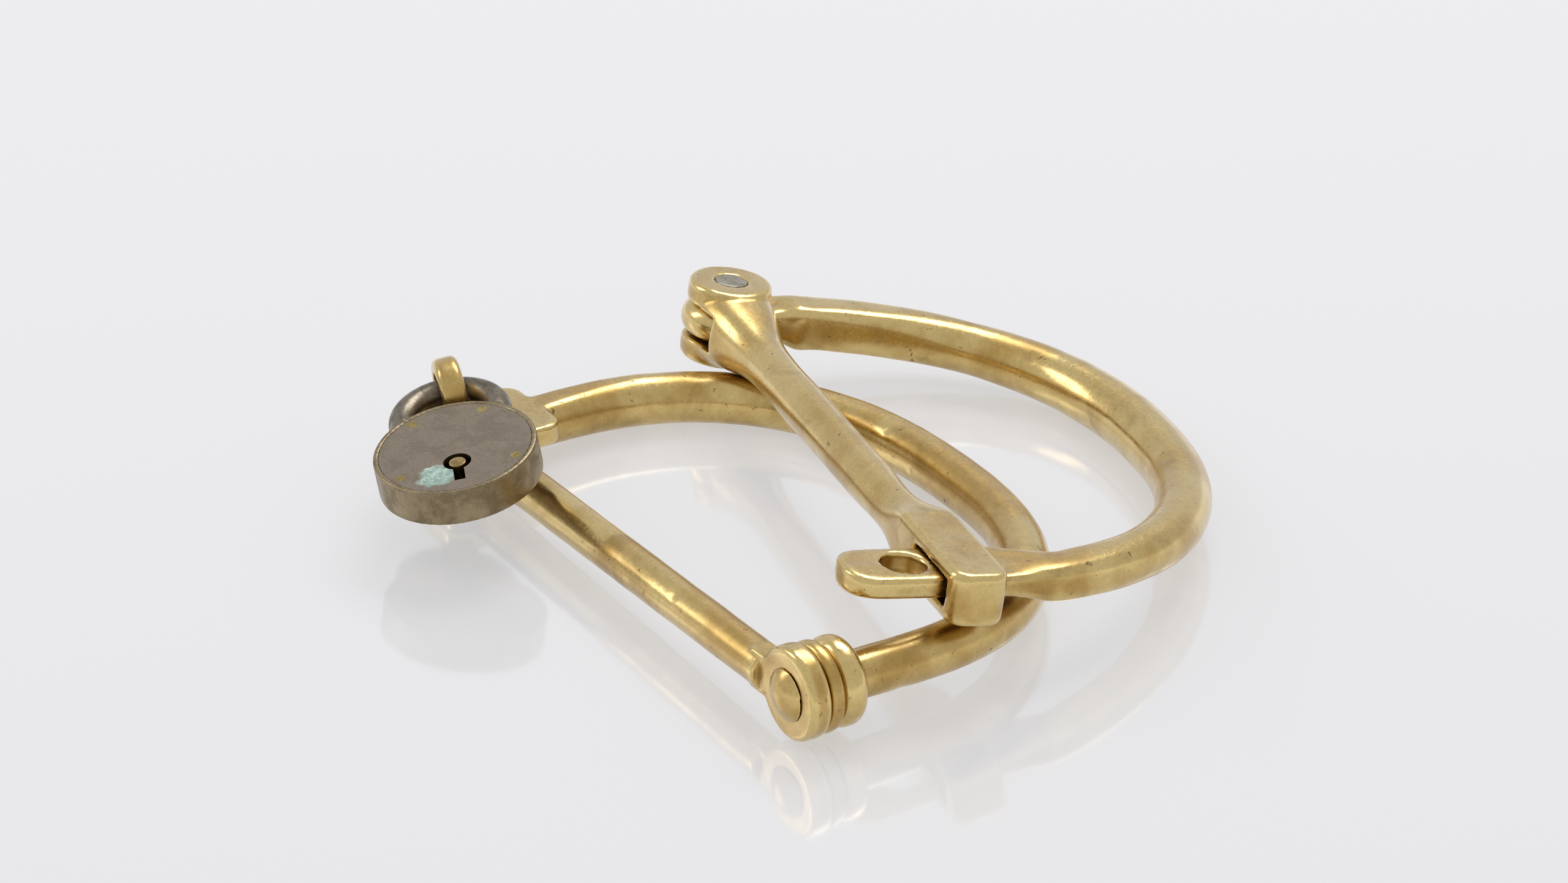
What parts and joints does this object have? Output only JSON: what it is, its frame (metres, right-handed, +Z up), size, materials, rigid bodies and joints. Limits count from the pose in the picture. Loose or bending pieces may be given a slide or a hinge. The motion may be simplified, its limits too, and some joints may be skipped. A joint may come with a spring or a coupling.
{
  "type": "pair of d-shaped bar shackles with round padlock",
  "caption": "D-shaped bar-and-bow shackles lying one on the other: one held shut by a round lever padlock through an upright lug, one with its bow on a fork hinge and a holed tab.",
  "frame": {"origin": "on the surface the pair lies on, below the middle of its bounding box", "axes": "+X along the closed shackle's bar towards its swivel, +Y from that bar towards its bow, +Z up"},
  "size_m": [0.1866, 0.1982, 0.0355],
  "materials": {
    "worn_brass": "worn cast brass, polished on the high places",
    "grey_iron": "bare grey iron, smooth",
    "dark_bronze": "dull dark bronze sheet",
    "case_brass": "dull browned brass",
    "spring_steel": "blued spring steel"
  },
  "bodies": {
    "closed_bar": {"lower_bar": "worn_brass", "lock_lug": "worn_brass"},
    "closed_bow": {"lower_bow": "worn_brass", "swivel_ring": "worn_brass", "swivel_rivet": "worn_brass"},
    "open_bar": {"upper_bar": "worn_brass", "hinge_pin": "grey_iron"},
    "open_bow": {"upper_bow": "worn_brass"},
    "padlock_shackle": {"padlock_shackle": "grey_iron"},
    "padlock_case": {"padlock_band": "dark_bronze", "padlock_front_plate": "dark_bronze", "padlock_back_plate": "dark_bronze", "padlock_heel_pin": "case_brass", "padlock_rivets": "case_brass", "padlock_key_post": "case_brass", "padlock_ward_ring": "case_brass", "padlock_bolt_guides": "case_brass", "padlock_lever_pivot": "case_brass"},
    "padlock_bolt": {"padlock_bolt": "case_brass"},
    "padlock_lever_1": {"padlock_lever_1": "case_brass", "padlock_lever_spring_1": "spring_steel"},
    "padlock_lever_2": {"padlock_lever_2": "case_brass", "padlock_lever_spring_2": "spring_steel"},
    "padlock_lever_3": {"padlock_lever_3": "case_brass", "padlock_lever_spring_3": "spring_steel"}
  },
  "joints": [
    {"name": "swivel_play", "type": "hinge", "parent": "closed_bar", "child": "closed_bow", "pos_m": [0.08132, -0.05769, 0.01351], "axis": [0.001, 0.9995, -0.0331], "range_deg": [0, 1.2]},
    {"name": "lift_open_shackle", "type": "slide", "parent": "closed_bow", "child": "open_bar", "axis": [0, 0, 1], "range_m": [0, 0.15]},
    {"name": "bow_hinge", "type": "hinge", "parent": "open_bar", "child": "open_bow", "pos_m": [-0.08152, 0.0224, 0.0207], "axis": [-0.0042, 0.1831, 0.9831], "range_deg": [0, 100]},
    {"name": "padlock_swing", "type": "hinge", "parent": "closed_bar", "child": "padlock_shackle", "pos_m": [-0.07802, -0.06236, 0.02505], "axis": [-0.3177, -0.9385, -0.1349], "range_deg": [0, 80]},
    {"name": "padlock_heel", "type": "hinge", "parent": "padlock_shackle", "child": "padlock_case", "pos_m": [-0.06503, -0.08013, 0.02227], "axis": [0.0117, 0.1632, -0.9865], "range_deg": [0, 45]},
    {"name": "bolt_slide", "type": "slide", "parent": "padlock_case", "child": "padlock_bolt", "axis": [0.4192, 0.8949, 0.153], "range_m": [0, 0.003]},
    {"name": "lever_1_lift", "type": "hinge", "parent": "padlock_case", "child": "padlock_lever_1", "pos_m": [-0.05354, -0.08854, 0.02101], "axis": [-0.0117, -0.1632, 0.9865], "range_deg": [0, 6]},
    {"name": "lever_2_lift", "type": "hinge", "parent": "padlock_case", "child": "padlock_lever_2", "pos_m": [-0.05354, -0.08854, 0.02101], "axis": [-0.0117, -0.1632, 0.9865], "range_deg": [0, 6]},
    {"name": "lever_3_lift", "type": "hinge", "parent": "padlock_case", "child": "padlock_lever_3", "pos_m": [-0.05354, -0.08854, 0.02101], "axis": [-0.0117, -0.1632, 0.9865], "range_deg": [0, 6]}
  ]
}
